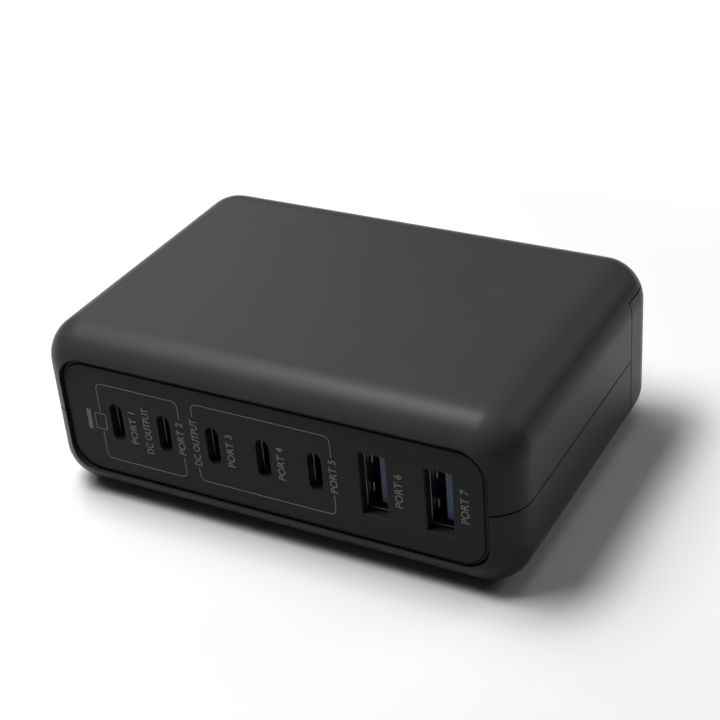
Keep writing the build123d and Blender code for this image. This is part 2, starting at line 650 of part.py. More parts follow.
def build_pieces(shell):
    """All the pieces, in the housing's frame."""
    pieces = {
        "upper_housing": upper_housing(shell),
        "lower_housing": lower_housing(shell),
        "rear_cover": rear_cover(shell),
        "foot_strip_front": foot_strip(FOOT_FRONT),
        "foot_strip_rear": foot_strip(FOOT_BACK),
        "front_panel": front_panel(),
        "status_light_pipe": status_light_pipe(),
        "status_light_chip": status_light_chip(),
        "usb_c_contacts": usb_c_contacts(),
        "usb_a_contacts": usb_a_contacts(),
        "port_board": port_board(),
        "main_board": main_board(),
        "insulating_sheet": insulating_sheet(),
        "board_screws": board_screws(),
        "board_header": board_header(),
        "power_inlet": power_inlet(),
        "inlet_pins": inlet_pins(),
        "fuse": moulded(FUSE_SIZE, FUSE_PLACE),
        "x_capacitor": moulded(X_CAPACITOR_SIZE, X_CAPACITOR_PLACE),
        "choke_core": wound_core(CHOKE_SIZE, CHOKE_PLACE, CHOKE_TOP),
        "choke_winding": core_winding(CHOKE_SIZE, CHOKE_PLACE, CHOKE_TOP),
        "bridge_rectifier": bridge_rectifier(),
        "pfc_core": wound_core(INDUCTOR_SIZE, INDUCTOR_PLACE, CORE_TOP),
        "pfc_winding": core_winding(INDUCTOR_SIZE, INDUCTOR_PLACE, CORE_TOP),
        "transformer_core": wound_core(TRANSFORMER_SIZE, TRANSFORMER_PLACE, CORE_TOP),
        "transformer_winding": core_winding(TRANSFORMER_SIZE, TRANSFORMER_PLACE, CORE_TOP),
        "power_transistors": chips(CHIP_X),
        "control_chips": chips(-CHIP_X),
        "output_capacitors": output_capacitors(),
        "buck_inductors": buck_inductors(),
        "heat_spreader": heat_spreader(),
        "thermal_pads": thermal_pads(),
    }
    for number, x in enumerate(usb_c_places(), start=1):
        pieces[f"usb_c_shell_{number}"] = usb_c_shell(x)
        pieces[f"usb_c_tongue_{number}"] = usb_c_tongue(x)
    for number, x in enumerate(USB_A_X, start=1):
        pieces[f"usb_a_shell_{number}"] = usb_a_shell(x)
        pieces[f"usb_a_tongue_{number}"] = usb_a_tongue(x)
    for number, x in enumerate(BULK_CAPACITOR_X, start=1):
        pieces[f"bulk_capacitor_{number}"] = bulk_capacitor(x)
    return pieces


os.makedirs("parts", exist_ok=True)
whole_shell = housing_shell()
rest_place = Pos(0, -whole_shell.bounding_box().center().Y, FOOT_PROUD)
for name, piece in build_pieces(whole_shell).items():
    export_step(rest_place * piece, f"parts/{name}.step")
print("moved to rest by", rest_place.position)
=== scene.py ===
"""A seven-port desktop charger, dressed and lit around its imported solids."""

import json
import logging
import math
from dataclasses import dataclass, field
from enum import Enum
from typing import Any

import bmesh
import bpy
from mathutils import Matrix, Vector


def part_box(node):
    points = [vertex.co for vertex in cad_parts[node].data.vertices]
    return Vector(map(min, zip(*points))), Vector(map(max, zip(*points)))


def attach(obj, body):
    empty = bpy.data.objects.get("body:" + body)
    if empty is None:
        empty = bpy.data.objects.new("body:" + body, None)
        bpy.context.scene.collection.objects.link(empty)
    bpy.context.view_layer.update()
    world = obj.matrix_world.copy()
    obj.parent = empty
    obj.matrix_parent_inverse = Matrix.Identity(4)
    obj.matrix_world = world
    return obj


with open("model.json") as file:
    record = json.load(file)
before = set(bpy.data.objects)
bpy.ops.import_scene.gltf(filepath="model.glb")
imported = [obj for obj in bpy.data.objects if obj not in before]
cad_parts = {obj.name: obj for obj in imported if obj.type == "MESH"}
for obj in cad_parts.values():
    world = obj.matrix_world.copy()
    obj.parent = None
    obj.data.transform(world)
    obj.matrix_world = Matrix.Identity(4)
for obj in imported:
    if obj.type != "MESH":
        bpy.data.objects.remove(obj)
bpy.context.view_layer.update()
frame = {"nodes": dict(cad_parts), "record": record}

LOG = logging.getLogger("charger")
MM = 0.001
BODY = "root"
MERGE_DISTANCE = 1e-6

Colour = tuple[float, float, float]
WHITE = (1.0, 1.0, 1.0, 1.0)
BLACK = (0.0, 0.0, 0.0, 1.0)


class Slot(str, Enum):
    """The record's material slots."""

    HOUSING = "housing_plastic"
    PANEL = "panel_plastic"
    LIGHT_WINDOW = "light_window"
    LIGHT_CHIP = "light_chip"
    SOCKET = "socket_steel"
    TONGUE_BLACK = "tongue_black"
    TONGUE_PURPLE = "tongue_purple"
    TONGUE_BLUE = "tongue_blue"
    CONTACT = "contact_gold"
    BOARD = "board_green"
    FILM = "insulating_film"
    SCREW = "screw_steel"
    BLACK = "black_plastic"
    PIN = "pin_brass"
    FUSE = "fuse_body"
    FILM_CAPACITOR = "film_capacitor"
    FERRITE = "ferrite"
    WIRE = "copper_wire"
    CAN = "capacitor_can"
    SPREADER = "spreader_aluminium"
    PAD = "pad_silicone"
    FOOT = "foot_rubber"
    PRINT = "panel_print"


class Along(Enum):
    """The direction that a rolled, drawn or wound surface runs in."""

    X = (0.04, 1.0, 1.0)
    Y = (1.0, 0.04, 1.0)
    Z = (1.0, 1.0, 0.04)


class Side(Enum):
    """A side of a printed outline."""

    LEFT = -1
    RIGHT = 1


# Node trees

# The colour sockets of a Mix node
MIX_FIRST, MIX_SECOND, MIX_RESULT = 6, 7, 2


class NodeSheet:
    """A node tree with short ways to add, set and join its nodes."""

    def __init__(self, tree: bpy.types.NodeTree) -> None:
        """Keeps the tree that the nodes go into."""
        self.tree = tree

    def add(self, kind: str, inputs: dict[Any, Any] | None = None, **settings: Any) -> bpy.types.Node:
        """Adds a node, sets its properties and gives its inputs a value or a link.

        Args:
            kind: The node's type name in Blender.
            inputs: Values or sockets by the input's name or number.
            settings: The node's own properties.

        Returns:
            The new node.
        """
        node = self.tree.nodes.new(kind)
        for name, value in settings.items():
            setattr(node, name, value)
        for key, value in (inputs or {}).items():
            if isinstance(value, bpy.types.NodeSocket):
                self.tree.links.new(value, node.inputs[key])
            else:
                node.inputs[key].default_value = value
        return node

    def place(self, group: bpy.types.NodeTree, inputs: dict[str, Any]) -> bpy.types.Node:
        """Adds a shared node group with its own values."""
        node = self.tree.nodes.new("ShaderNodeGroup")
        node.node_tree = group
        for key, value in inputs.items():
            node.inputs[key].default_value = value
        return node

    def mix(self, factor: bpy.types.NodeSocket, first: Any, second: Any) -> bpy.types.NodeSocket:
        """Mixes two colours by a value from 0 to 1.

        Args:
            factor: The value.
            first: The colour or socket at 0.
            second: The colour or socket at 1.

        Returns:
            The mixed colour.
        """
        inputs = {MIX_FIRST: first, MIX_SECOND: second, "Factor": factor}
        return self.add("ShaderNodeMix", inputs, data_type="RGBA").outputs[MIX_RESULT]


class SharedEffect:
    """A shader node group that several finishes use, built once."""

    def __init__(self, name: str, inputs: dict[str, float], outputs: dict[str, str]) -> None:
        """Starts the group with its named sockets.

        Args:
            name: The group's name.
            inputs: The default of each number that goes in.
            outputs: The socket type of each value that comes out.
        """
        self.tree = bpy.data.node_groups.new(name, "ShaderNodeTree")
        for key, value in inputs.items():
            socket = self.tree.interface.new_socket(key, in_out="INPUT", socket_type="NodeSocketFloat")
            socket.default_value = value
        for key, kind in outputs.items():
            self.tree.interface.new_socket(key, in_out="OUTPUT", socket_type=kind)
        self.sheet = NodeSheet(self.tree)
        self.start = self.sheet.add("NodeGroupInput").outputs
        self.end = self.sheet.add("NodeGroupOutput").inputs

    def give(self, name: str, socket: bpy.types.NodeSocket) -> None:
        """Joins a socket to one of the group's outputs."""
        self.tree.links.new(socket, self.end[name])

    def object_point(self) -> bpy.types.NodeSocket:
        """The point on the surface, in the object's own metres."""
        return self.sheet.add("ShaderNodeTexCoord").outputs["Object"]


def moulded_grain() -> bpy.types.NodeTree:
    """The fine texture of a spark-eroded mould, with slow changes of tone over it.

    Returns:
        A group with the texture's height and a tone, both from 0 to 1.
    """
    effect = SharedEffect(
        "moulded_grain",
        {"Scale": 3000.0, "Slow Scale": 60.0},
        {"Height": "NodeSocketFloat", "Tone": "NodeSocketFloat"},
    )
    point = effect.object_point()
    fine = effect.sheet.add(
        "ShaderNodeTexNoise",
        {"Vector": point, "Scale": effect.start["Scale"], "Detail": 2.0, "Roughness": 0.55},
    )
    slow = effect.sheet.add(
        "ShaderNodeTexNoise",
        {"Vector": point, "Scale": effect.start["Slow Scale"], "Detail": 3.0, "Roughness": 0.6},
    )
    effect.give("Height", fine.outputs["Fac"])
    effect.give("Tone", slow.outputs["Fac"])
    return effect.tree


def soft_edges() -> bpy.types.NodeTree:
    """The small rounding that every moulded or folded edge has.

    Returns:
        A group whose normal turns smoothly over each edge.
    """
    effect = SharedEffect("soft_edges", {"Radius": 0.2 * MM}, {"Normal": "NodeSocketVector"})
    bevel = effect.sheet.add("ShaderNodeBevel", {"Radius": effect.start["Radius"]}, samples=6)
    effect.give("Normal", bevel.outputs["Normal"])
    return effect.tree


def drawn_streaks() -> bpy.types.NodeTree:
    """The long fine lines that rolling, drawing or winding leaves.

    Returns:
        A group with a streak value from 0 to 1, stretched by its three stretch inputs.
    """
    effect = SharedEffect(
        "drawn_streaks",
        {"Scale": 4000.0, "Stretch X": 1.0, "Stretch Y": 1.0, "Stretch Z": 1.0},
        {"Streak": "NodeSocketFloat"},
    )
    stretch = effect.sheet.add(
        "ShaderNodeCombineXYZ",
        {axis: effect.start[f"Stretch {axis}"] for axis in "XYZ"},
    )
    turned = effect.sheet.add(
        "ShaderNodeVectorMath",
        {0: effect.object_point(), 1: stretch.outputs["Vector"]},
        operation="MULTIPLY",
    )
    noise = effect.sheet.add(
        "ShaderNodeTexNoise",
        {"Vector": turned.outputs["Vector"], "Scale": effect.start["Scale"], "Detail": 3.0},
    )
    effect.give("Streak", noise.outputs["Fac"])
    return effect.tree


@dataclass(frozen=True)
class Effects:
    """The shared node groups."""

    grain: bpy.types.NodeTree
    edges: bpy.types.NodeTree
    streaks: bpy.types.NodeTree


# Finishes


@dataclass(frozen=True)
class Finish:
    """What every finish has: a name, a colour and a gloss.

    Attributes:
        name: The material's name.
        colour: Its base colour, linear.
        roughness: Its mean roughness.
        specular: The strength of its clear reflection.
        edge: The radius that its edges are softened by, in metres.
    """

    name: str
    colour: Colour
    roughness: float = 0.5
    specular: float = 0.5
    edge: float = 0.12 * MM

    def shaded(self, share: float) -> tuple[float, float, float, float]:
        """The finish's colour, made lighter or darker by a share."""
        return tuple(channel * share for channel in self.colour) + (1.0,)

    def begin(self) -> tuple[bpy.types.Material, NodeSheet, bpy.types.Node]:
        """Makes the material with one shader.

        Returns:
            The material, its sheet of nodes and its shader.
        """
        material = bpy.data.materials.new(self.name)
        material.use_nodes = True
        sheet = NodeSheet(material.node_tree)
        shader = material.node_tree.nodes["Principled BSDF"]
        shader.inputs["Specular IOR Level"].default_value = self.specular
        return material, sheet, shader

    def material(self, effects: Effects) -> bpy.types.Material:
        """Makes the finish's material."""
        raise NotImplementedError

    def spread(
        self, sheet: NodeSheet, value: bpy.types.NodeSocket, low: float, high: float
    ) -> bpy.types.NodeSocket:
        """Spreads a value from 0 to 1 over a range."""
        inputs = {"Value": value, "To Min": low, "To Max": high}
        return sheet.add("ShaderNodeMapRange", inputs).outputs["Result"]


@dataclass(frozen=True)
class MouldedPlastic(Finish):
    """A moulded plastic or rubber with a fine texture.

    Attributes:
        grain_scale: Grains in a metre.
        grain_depth: The height of the grain, in metres.
        tone: How far the colour wanders to each side.
        gloss_spread: How far the roughness wanders to each side.
    """

    grain_scale: float = 3500.0
    grain_depth: float = 0.004 * MM
    tone: float = 0.08
    gloss_spread: float = 0.04

    def material(self, effects: Effects) -> bpy.types.Material:
        """Makes the plastic's material."""
        material, sheet, shader = self.begin()
        grain = sheet.place(effects.grain, {"Scale": self.grain_scale})
        edges = sheet.place(effects.edges, {"Radius": self.edge})
        bump = sheet.add(
            "ShaderNodeBump",
            {
                "Height": grain.outputs["Height"],
                "Distance": self.grain_depth,
                "Normal": edges.outputs["Normal"],
            },
        )
        tone = grain.outputs["Tone"]
        colour = sheet.mix(tone, self.shaded(1 - self.tone), self.shaded(1 + self.tone))
        low, high = self.roughness - self.gloss_spread, self.roughness + self.gloss_spread
        gloss = self.spread(sheet, tone, low, high)
        sheet.tree.links.new(colour, shader.inputs["Base Color"])
        sheet.tree.links.new(gloss, shader.inputs["Roughness"])
        sheet.tree.links.new(bump.outputs["Normal"], shader.inputs["Normal"])
        return material


@dataclass(frozen=True)
class SheetMetal(Finish):
    """A rolled, drawn or plated metal with fine streaks.

    Attributes:
        along: The direction that the streaks run in.
        streak_scale: Streaks in a metre.
        streak_depth: The height of the streaks, in metres.
        tone: How far the colour wanders to each side.
        gloss_share: The least and the most of the roughness.
    """

    along: Along = Along.Y
    streak_scale: float = 5000.0
    streak_depth: float = 0.002 * MM
    tone: float = 0.12
    gloss_share: tuple[float, float] = (0.75, 1.25)

    def material(self, effects: Effects) -> bpy.types.Material:
        """Makes the metal's material."""
        material, sheet, shader = self.begin()
        shader.inputs["Metallic"].default_value = 1.0
        stretch = dict(zip(("Stretch X", "Stretch Y", "Stretch Z"), self.along.value))
        streaks = sheet.place(effects.streaks, {"Scale": self.streak_scale, **stretch})
        edges = sheet.place(effects.edges, {"Radius": self.edge})
        streak = streaks.outputs["Streak"]
        bump = sheet.add(
            "ShaderNodeBump",
            {"Height": streak, "Distance": self.streak_depth, "Normal": edges.outputs["Normal"]},
        )
        colour = sheet.mix(streak, self.shaded(1 - self.tone), self.shaded(1 + self.tone))
        ends = (self.roughness * share for share in self.gloss_share)
        gloss = self.spread(sheet, streak, *ends)
        sheet.tree.links.new(colour, shader.inputs["Base Color"])
        sheet.tree.links.new(gloss, shader.inputs["Roughness"])
        sheet.tree.links.new(bump.outputs["Normal"], shader.inputs["Normal"])
        return material


@dataclass(frozen=True)
class WoundWire(Finish):
    """Enamelled copper wire, wound in close turns.

    Attributes:
        turns: Turns in a metre of height.
        depth: The height of a turn, in metres.
        shade: The share of the colour between turns and on them, which paints shade into the grooves between
            turns and a highlight onto their crests.
        gloss_share: The least and the most of the roughness.
    """

    turns: float = 1600.0
    depth: float = 0.12 * MM
    shade: tuple[float, float] = (0.45, 1.1)
    gloss_share: tuple[float, float] = (0.8, 1.2)

    def material(self, effects: Effects) -> bpy.types.Material:
        """Makes the winding's material."""
        material, sheet, shader = self.begin()
        shader.inputs["Metallic"].default_value = 1.0
        shader.inputs["Coat Weight"].default_value = 0.6
        point = sheet.add("ShaderNodeTexCoord").outputs["Object"]
        band = sheet.add(
            "ShaderNodeTexWave",
            {"Vector": point, "Scale": self.turns / 2, "Distortion": 0.6, "Detail": 1.0},
            bands_direction="Z",
        )
        grain = sheet.place(effects.grain, {"Slow Scale": 220.0})
        bump = sheet.add("ShaderNodeBump", {"Height": band.outputs["Fac"], "Distance": self.depth})
        # Painted shade and highlight: the colour is darker in the grooves between turns and lighter on their
        # crests.
        colour = sheet.mix(band.outputs["Fac"], *(self.shaded(share) for share in self.shade))
        ends = (self.roughness * share for share in self.gloss_share)
        gloss = self.spread(sheet, grain.outputs["Tone"], *ends)
        sheet.tree.links.new(colour, shader.inputs["Base Color"])
        sheet.tree.links.new(gloss, shader.inputs["Roughness"])
        sheet.tree.links.new(bump.outputs["Normal"], shader.inputs["Normal"])
        return material


@dataclass(frozen=True)
class CircuitBoard(Finish):
    """A glass-epoxy board under a gloss solder mask, with copper runs that show through.

    Attributes:
        runs: Copper runs in a metre.
        run_colour: The colour of the mask over copper.
        run_height: The height of a run, in metres.
        shade: The share of the colour from one patch of mask to the next.
        gloss_share: The least and the most of the roughness.
    """

    runs: float = 420.0
    run_colour: Colour = (0.045, 0.2, 0.09)
    run_height: float = 0.03 * MM
    shade: tuple[float, float] = (0.9, 1.1)
    gloss_share: tuple[float, float] = (0.8, 1.2)

    def material(self, effects: Effects) -> bpy.types.Material:
        """Makes the board's material."""
        material, sheet, shader = self.begin()
        shader.inputs["Coat Weight"].default_value = 0.3
        point = sheet.add("ShaderNodeTexCoord").outputs["Object"]
        runs = sheet.add(
            "ShaderNodeTexBrick",
            {
                "Vector": point,
                "Scale": self.runs,
                "Mortar Size": 0.12,
                "Mortar Smooth": 0.3,
                "Color1": self.shaded(self.shade[0]),
                "Color2": self.shaded(self.shade[1]),
                "Mortar": (*self.run_colour, 1.0),
            },
        )
        grain = sheet.place(effects.grain, {"Scale": 2500.0})
        bump = sheet.add("ShaderNodeBump", {"Height": runs.outputs["Fac"], "Distance": self.run_height})
        ends = (self.roughness * share for share in self.gloss_share)
        gloss = self.spread(sheet, grain.outputs["Tone"], *ends)
        sheet.tree.links.new(runs.outputs["Color"], shader.inputs["Base Color"])
        sheet.tree.links.new(gloss, shader.inputs["Roughness"])
        sheet.tree.links.new(bump.outputs["Normal"], shader.inputs["Normal"])
        return material


@dataclass
class FinishRack:
    """Every finish by the slot that it belongs to."""

    effects: Effects
    finishes: dict[Slot, Finish]
    made: dict[Slot, bpy.types.Material] = field(default_factory=dict)

    def get(self, slot: Slot) -> bpy.types.Material:
        """The slot's material, made the first time that it is asked for."""
        if slot not in self.made:
            self.made[slot] = self.finishes[slot].material(self.effects)
        return self.made[slot]


def charger_finishes() -> dict[Slot, Finish]:
    """The finish of every slot of the charger.

    Returns:
        Finishes by slot.
    """
    return {
        Slot.HOUSING: MouldedPlastic(
            "satin_housing", (0.045, 0.045, 0.0455), 0.35, 0.1, 0.18 * MM, 4200.0, 0.008 * MM
        ),
        Slot.PANEL: MouldedPlastic(
            "smooth_panel", (0.04, 0.04, 0.0405), 0.4, 0.06, 0.12 * MM, 5200.0, 0.002 * MM
        ),
        Slot.LIGHT_WINDOW: MouldedPlastic("frosted_window", (0.11, 0.11, 0.115), 0.35, 0.5, 0.05 * MM),
        Slot.LIGHT_CHIP: MouldedPlastic("light_chip", (0.8, 0.72, 0.3), 0.3),
        Slot.SOCKET: SheetMetal("socket_sheet", (0.24, 0.24, 0.245), 0.42),
        Slot.TONGUE_BLACK: MouldedPlastic("tongue_black", (0.012, 0.012, 0.012), 0.45, 0.5, 0.04 * MM),
        Slot.TONGUE_PURPLE: MouldedPlastic("tongue_purple", (0.115, 0.085, 0.22), 0.45, 0.5, 0.08 * MM),
        Slot.TONGUE_BLUE: MouldedPlastic("tongue_blue", (0.05, 0.12, 0.26), 0.45, 0.5, 0.08 * MM),
        Slot.CONTACT: SheetMetal("gold_contact", (0.8, 0.58, 0.22), 0.25, edge=0.02 * MM),
        Slot.BOARD: CircuitBoard("circuit_board", (0.012, 0.09, 0.04), 0.35),
        Slot.FILM: MouldedPlastic("insulating_film", (0.06, 0.06, 0.06), 0.35),
        Slot.SCREW: SheetMetal("zinc_screw", (0.45, 0.45, 0.47), 0.35, along=Along.Z),
        Slot.BLACK: MouldedPlastic("moulded_black", (0.015, 0.015, 0.016), 0.5, 0.4, 0.15 * MM),
        Slot.PIN: SheetMetal("nickel_pin", (0.62, 0.6, 0.56), 0.22),
        Slot.FUSE: MouldedPlastic("fuse_body", (0.1, 0.04, 0.02), 0.45),
        Slot.FILM_CAPACITOR: MouldedPlastic("film_capacitor", (0.45, 0.3, 0.03), 0.4),
        Slot.FERRITE: MouldedPlastic(
            "ferrite", (0.04, 0.04, 0.045), 0.6, 0.5, 0.1 * MM, 2200.0, 0.02 * MM, 0.3
        ),
        Slot.WIRE: WoundWire("enamelled_wire", (0.55, 0.2, 0.08), 0.3),
        Slot.CAN: MouldedPlastic("sleeved_can", (0.03, 0.03, 0.045), 0.3),
        Slot.SPREADER: SheetMetal("spreader_sheet", (0.75, 0.75, 0.76), 0.4, along=Along.X),
        Slot.PAD: MouldedPlastic("silicone_pad", (0.35, 0.38, 0.42), 0.7, tone=0.15),
        Slot.FOOT: MouldedPlastic("foot_rubber", (0.02, 0.02, 0.02), 0.8, 0.3, 0.4 * MM, 2600.0, 0.02 * MM),
        Slot.PRINT: MouldedPlastic("printed_ink", (0.33, 0.33, 0.33), 0.6, 0.1, 0.01 * MM),
    }


# Pieces of the charger


@dataclass
class CadGroup:
    """Solids that are kept as they are and dressed by their own slots.

    Attributes:
        title: What the group is.
        prefixes: The start of each node's name.
    """

    title: str
    prefixes: tuple[str, ...]

    def nodes(self) -> list[str]:
        """The names of the group's nodes, in order."""
        return sorted(name for name in frame["nodes"] if name.startswith(self.prefixes))

    def dress(self, rack: FinishRack) -> list[str]:
        """Gives each node the finish of its slot.

        Args:
            rack: The charger's finishes.

        Returns:
            The names of the nodes that were dressed.
        """
        slots = {part["node"]: Slot(part["material_slot"]) for part in frame["record"]["subparts"]}
        for name in self.nodes():
            material = rack.get(slots[name])
            for holder in frame["nodes"][name].material_slots:
                holder.material = material
        return self.nodes()


@dataclass
class PrintedOutline:
    """A thin rounded outline with a gap in each of its upright sides.

    Attributes:
        name: The piece's name.
        x_span: Its left and right edges, in millimetres.
        z_span: Its lower and upper edges, in millimetres above the underside.
        gaps: The lower and upper ends of the gap in each side.
        radius: The radius of its corners.
    """

    name: str
    x_span: tuple[float, float]
    z_span: tuple[float, float]
    gaps: dict[Side, tuple[float, float]] = field(default_factory=dict)
    radius: float = 1.4


@dataclass
class PrintedWord:
    """A short word beside a port, read from the bottom up.

    Attributes:
        name: The piece's name.
        text: The letters.
        middle: Its middle across and up the panel, in millimetres.
        length: Its length up the panel.
    """

    name: str
    text: str
    middle: tuple[float, float]
    length: float


@dataclass
class PanelPrint:
    """The marks printed on the front panel.

    Attributes:
        lift: From the housing's underside to the floor, in millimetres.
        line: The width of a printed line.
        ink: The thickness of the ink above the panel, and below it.
        cap_height: The height of a capital letter.
        weight: How much bolder than the font a letter is, in parts of its size.
        word_length: The length of a port's word.
        rating_length: The length of the word beside an outline.
        port_middles: The middle of each port's word, across and up.
        rating_middles: The middle of each word beside an outline, across and up.
        outlines: The printed outlines.
    """

    lift: float = 0.5
    line: float = 0.18
    ink: float = 0.02
    cap_height: float = 1.6
    weight: float = 0.008
    word_length: float = 7.3
    rating_length: float = 10.5
    port_middles: tuple[tuple[float, float], ...] = (
        (-29.8, 17.9), (-18.7, 18.2), (-7.55, 18.2), (3.55, 18.2), (14.6, 18.3), (28.0, 18.7), (41.05, 18.9)
    )
    rating_middles: tuple[tuple[float, float], ...] = ((-26.45, 18.0), (-15.3, 18.2))
    outlines: tuple[PrintedOutline, ...] = (
        PrintedOutline(
            "printed_outline_1",
            (-37.45, -18.4),
            (9.1, 26.65),
            {Side.LEFT: (15.3, 20.1), Side.RIGHT: (13.8, 22.5)},
        ),
        PrintedOutline(
            "printed_outline_2",
            (-15.4, 14.6),
            (9.45, 27.1),
            {Side.LEFT: (12.4, 24.0), Side.RIGHT: (14.1, 22.4)},
        ),
        PrintedOutline("printed_square", (-38.9, -36.2), (15.8, 19.55), {}, 0.3),
    )

    def face(self) -> float:
        """The panel's front face, in metres."""
        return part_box("front_panel")[0].y

    def place(self, mesh: bmesh.types.BMesh, turn: Matrix, x: float, z: float) -> None:
        """Turns a flat mark upright and sets it on the panel.

        Args:
            mesh: The mark, drawn flat about the origin in metres.
            turn: The turn that stands it up.
            x: Its place across the panel, in millimetres.
            z: Its place above the underside, in millimetres.
        """
        spot = Vector((x * MM, self.face(), (z + self.lift) * MM))
        bmesh.ops.transform(mesh, matrix=Matrix.Translation(spot) @ turn, verts=mesh.verts)

    def outline(self, mark: PrintedOutline) -> bpy.types.Object:
        """Draws one outline.

        Args:
            mark: What to draw.

        Returns:
            The finished piece.
        """
        (left, right), (low, high) = mark.x_span, mark.z_span
        middle_x, middle_z = (left + right) / 2, (low + high) / 2
        mesh = flat_ring((right - left, high - low), mark.radius, self.line)
        for side, gap in mark.gaps.items():
            self.cut_gap(mesh, side, [(end - middle_z) * MM for end in gap])
        self.thicken(mesh)
        self.place(mesh, Matrix.Rotation(math.radians(90), 4, "X"), middle_x, middle_z)
        return finish_piece(mark.name, mesh)

    def cut_gap(self, mesh: bmesh.types.BMesh, side: Side, ends: list[float]) -> None:
        """Takes a length out of one upright side of an outline.

        Args:
            mesh: The flat outline.
            side: Which side.
            ends: The lower and upper ends of the gap, from the outline's middle in metres.
        """
        for end in ends:
            geometry = mesh.verts[:] + mesh.edges[:] + mesh.faces[:]
            bmesh.ops.bisect_plane(mesh, geom=geometry, plane_co=(0, end, 0), plane_no=(0, 1, 0))
        taken = []
        for piece in mesh.faces:
            middle = piece.calc_center_median()
            if middle.x * side.value > 0 and ends[0] < middle.y < ends[1]:
                taken.append(piece)
        bmesh.ops.delete(mesh, geom=taken, context="FACES")

    def thicken(self, mesh: bmesh.types.BMesh) -> None:
        """Gives a flat mark the thickness of its ink, half of it below the face."""
        bmesh.ops.solidify(mesh, geom=mesh.faces[:], thickness=2 * self.ink * MM)
        heights = [vertex.co.z for vertex in mesh.verts]
        bmesh.ops.translate(mesh, vec=(0, 0, -(min(heights) + max(heights)) / 2), verts=mesh.verts)
        bmesh.ops.recalc_face_normals(mesh, faces=mesh.faces[:])

    def word(self, mark: PrintedWord) -> bpy.types.Object:
        """Sets one word.

        Args:
            mark: What to write and where.

        Returns:
            The finished piece.
        """
        curve = bpy.data.curves.new(mark.name, "FONT")
        curve.body = mark.text
        curve.resolution_u = 3
        curve.extrude = self.ink * MM
        curve.offset = self.weight
        holder = bpy.data.objects.new(mark.name, curve)
        flat = bpy.data.meshes.new_from_object(holder)
        bpy.data.objects.remove(holder)
        bpy.data.curves.remove(curve)
        mesh = bmesh.new()
        mesh.from_mesh(flat)
        bpy.data.meshes.remove(flat)
        low = Vector(min(vertex.co[axis] for vertex in mesh.verts) for axis in range(3))
        high = Vector(max(vertex.co[axis] for vertex in mesh.verts) for axis in range(3))
        bmesh.ops.translate(mesh, vec=-(low + high) / 2, verts=mesh.verts)
        stretch = (mark.length * MM / (high.x - low.x), self.cap_height * MM / (high.y - low.y), 1.0)
        bmesh.ops.scale(mesh, vec=stretch, verts=mesh.verts)
        bmesh.ops.remove_doubles(mesh, verts=mesh.verts, dist=MERGE_DISTANCE)
        bmesh.ops.recalc_face_normals(mesh, faces=mesh.faces[:])
        upwards = Matrix(((0, -1, 0, 0), (0, 0, -1, 0), (1, 0, 0, 0), (0, 0, 0, 1)))
        self.place(mesh, upwards, *mark.middle)
        return finish_piece(mark.name, mesh)

    def words(self) -> list[PrintedWord]:
        """Every word on the panel."""
        ports = [
            PrintedWord(f"printed_port_{number}", f"PORT {number}", middle, self.word_length)
            for number, middle in enumerate(self.port_middles, start=1)
        ]
        ratings = [
            PrintedWord(f"printed_output_{number}", "DC OUTPUT", middle, self.rating_length)
            for number, middle in enumerate(self.rating_middles, start=1)
        ]
        return ports + ratings

    def build(self, rack: FinishRack) -> list[str]:
        """Makes all the marks.

        Args:
            rack: The charger's finishes.

        Returns:
            The names of the new pieces.
        """
        pieces = [self.outline(mark) for mark in self.outlines]
        pieces += [self.word(mark) for mark in self.words()]
        for piece in pieces:
            piece.data.materials.append(rack.get(Slot.PRINT))
            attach(piece, BODY)
        return [piece.name for piece in pieces]


@dataclass
class PanelLip:
    """The thin step that runs round the front panel, in its groove.

    Attributes:
        width: How far it stands out from the panel's edge, in millimetres.
        radius: The radius of its outer corners.
        setback: From the panel's face back to the step.
        depth: The step's own thickness.
        overlap: How far it reaches into the panel's edge.
        corner_steps: Steps in each corner.
    """

    width: float = 0.42
    radius: float = 5.42
    setback: float = 0.3
    depth: float = 0.7
    overlap: float = 0.05
    corner_steps: int = 12

    def build(self, rack: FinishRack) -> list[str]:
        """Makes the step.

        Args:
            rack: The charger's finishes.

        Returns:
            The name of the new piece.
        """
        low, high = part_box("front_panel")
        size = [(high[axis] - low[axis]) / MM + 2 * self.width for axis in (0, 2)]
        mesh = flat_ring((size[0], size[1]), self.radius, self.width + self.overlap, self.corner_steps)
        bmesh.ops.solidify(mesh, geom=mesh.faces[:], thickness=self.depth * MM)
        front = max(vertex.co.z for vertex in mesh.verts)
        bmesh.ops.recalc_face_normals(mesh, faces=mesh.faces[:])
        spot = Vector(((low.x + high.x) / 2, low.y + self.setback * MM + front, (low.z + high.z) / 2))
        upright = Matrix.Translation(spot) @ Matrix.Rotation(math.radians(90), 4, "X")
        bmesh.ops.transform(mesh, matrix=upright, verts=mesh.verts)
        piece = finish_piece("panel_lip", mesh)
        piece.data.materials.append(rack.get(Slot.PANEL))
        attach(piece, BODY)
        return [piece.name]


def flat_ring(size: tuple[float, float], radius: float, line: float, segments: int = 6) -> bmesh.types.BMesh:
    """Draws a flat rounded ring about the origin.

    Args:
        size: Its width and height, in millimetres.
        radius: The radius of its outer corners.
        line: The width of the ring itself.
        segments: Steps in each corner.

    Returns:
        The ring, in metres.
    """
    mesh = bmesh.new()
    bmesh.ops.create_grid(mesh, x_segments=1, y_segments=1, size=0.5)
    bmesh.ops.scale(mesh, vec=(size[0] * MM, size[1] * MM, 1.0), verts=mesh.verts)
    bmesh.ops.bevel(
        mesh,
        geom=mesh.verts[:],
        offset=radius * MM,
        offset_type="OFFSET",
        segments=segments,
        profile=0.5,
        affect="VERTICES",
        material=-1,
    )
    bmesh.ops.inset_region(
        mesh, faces=mesh.faces[:], thickness=line * MM, use_even_offset=True, use_boundary=True
    )
    inner = max(mesh.faces, key=lambda face: face.calc_area())
    bmesh.ops.delete(mesh, geom=[inner], context="FACES")
    return mesh


